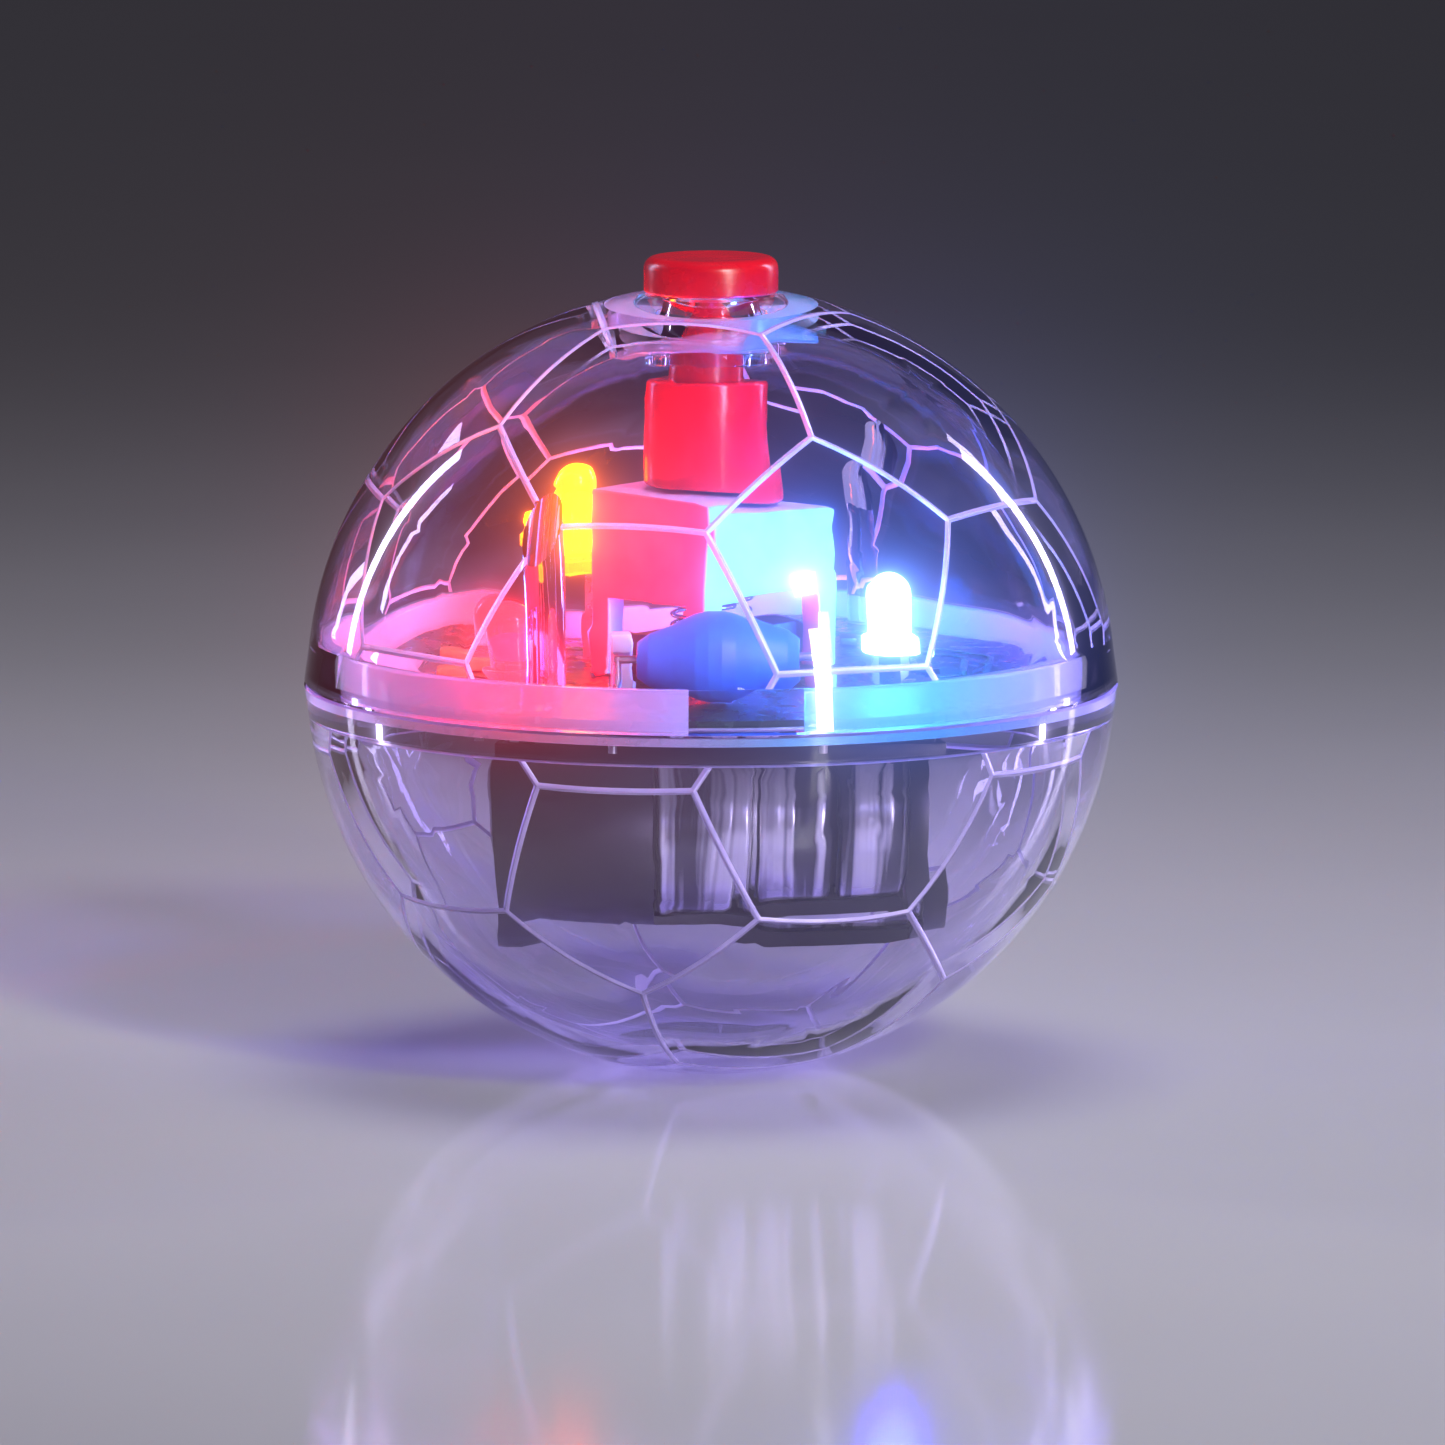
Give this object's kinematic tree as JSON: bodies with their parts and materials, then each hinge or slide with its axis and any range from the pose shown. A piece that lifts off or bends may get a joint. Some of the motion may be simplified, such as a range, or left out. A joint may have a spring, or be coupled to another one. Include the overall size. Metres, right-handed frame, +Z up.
{
  "type": "light-up motion toy ball",
  "caption": "Clear two-part flashing ball with a red push button, faceted panel walls, lamps, motion sensor, circuit board and button cells inside.",
  "frame": {"origin": "centre of the flat foot under the ball, on the surface it stands on", "axes": "+Z up along the ball's axis and the button's travel, -Y towards the front where the motion sensor lies"},
  "size_m": [0.0502, 0.0502, 0.0501],
  "materials": {
    "clear_plastic": "polished, see-through",
    "red_plastic": "glossy",
    "white_plastic": "smooth satin",
    "black_plastic": "satin",
    "board": "solder-mask gloss",
    "tinned_metal": "tinned, satin",
    "spring_steel": "bright drawn wire",
    "gold_wire": "bright",
    "cell_steel": "bright nickel",
    "red_lens": "clear tinted, lit",
    "blue_lens": "clear tinted, lit",
    "yellow_lens": "clear tinted, lit",
    "blue_sleeve": "matt sleeve",
    "black_epoxy": "semi-gloss",
    "ceramic": "matt"
  },
  "bodies": {
    "ball": {"upper_shell": "clear_plastic", "lower_shell": "clear_plastic", "switch_spring": "spring_steel", "switch_housing": "white_plastic", "switch_base": "black_plastic", "switch_pins": "tinned_metal", "circuit_board": "board", "lamp_red": "red_lens", "lamp_red_legs": "tinned_metal", "lamp_blue": "blue_lens", "lamp_blue_legs": "tinned_metal", "lamp_yellow": "yellow_lens", "lamp_yellow_legs": "tinned_metal", "sensor_sleeve": "blue_sleeve", "sensor_coil": "gold_wire", "sensor_pin": "tinned_metal", "board_clip": "white_plastic", "chip_blob": "black_epoxy", "resistors": "black_plastic", "capacitor": "ceramic", "battery_holder": "black_plastic", "cell_left": "cell_steel", "cell_middle": "cell_steel", "cell_right": "cell_steel", "contact_spring": "spring_steel", "contact_plate": "tinned_metal", "solder_joints": "tinned_metal"},
    "button": {"button_cap": "red_plastic", "plunger": "red_plastic", "switch_stem": "black_plastic"}
  },
  "joints": [
    {"name": "button_slide", "type": "slide", "parent": "ball", "child": "button", "axis": [0, 0, 1], "range_m": [0, 0.001], "deforming": ["switch_spring"]}
  ]
}
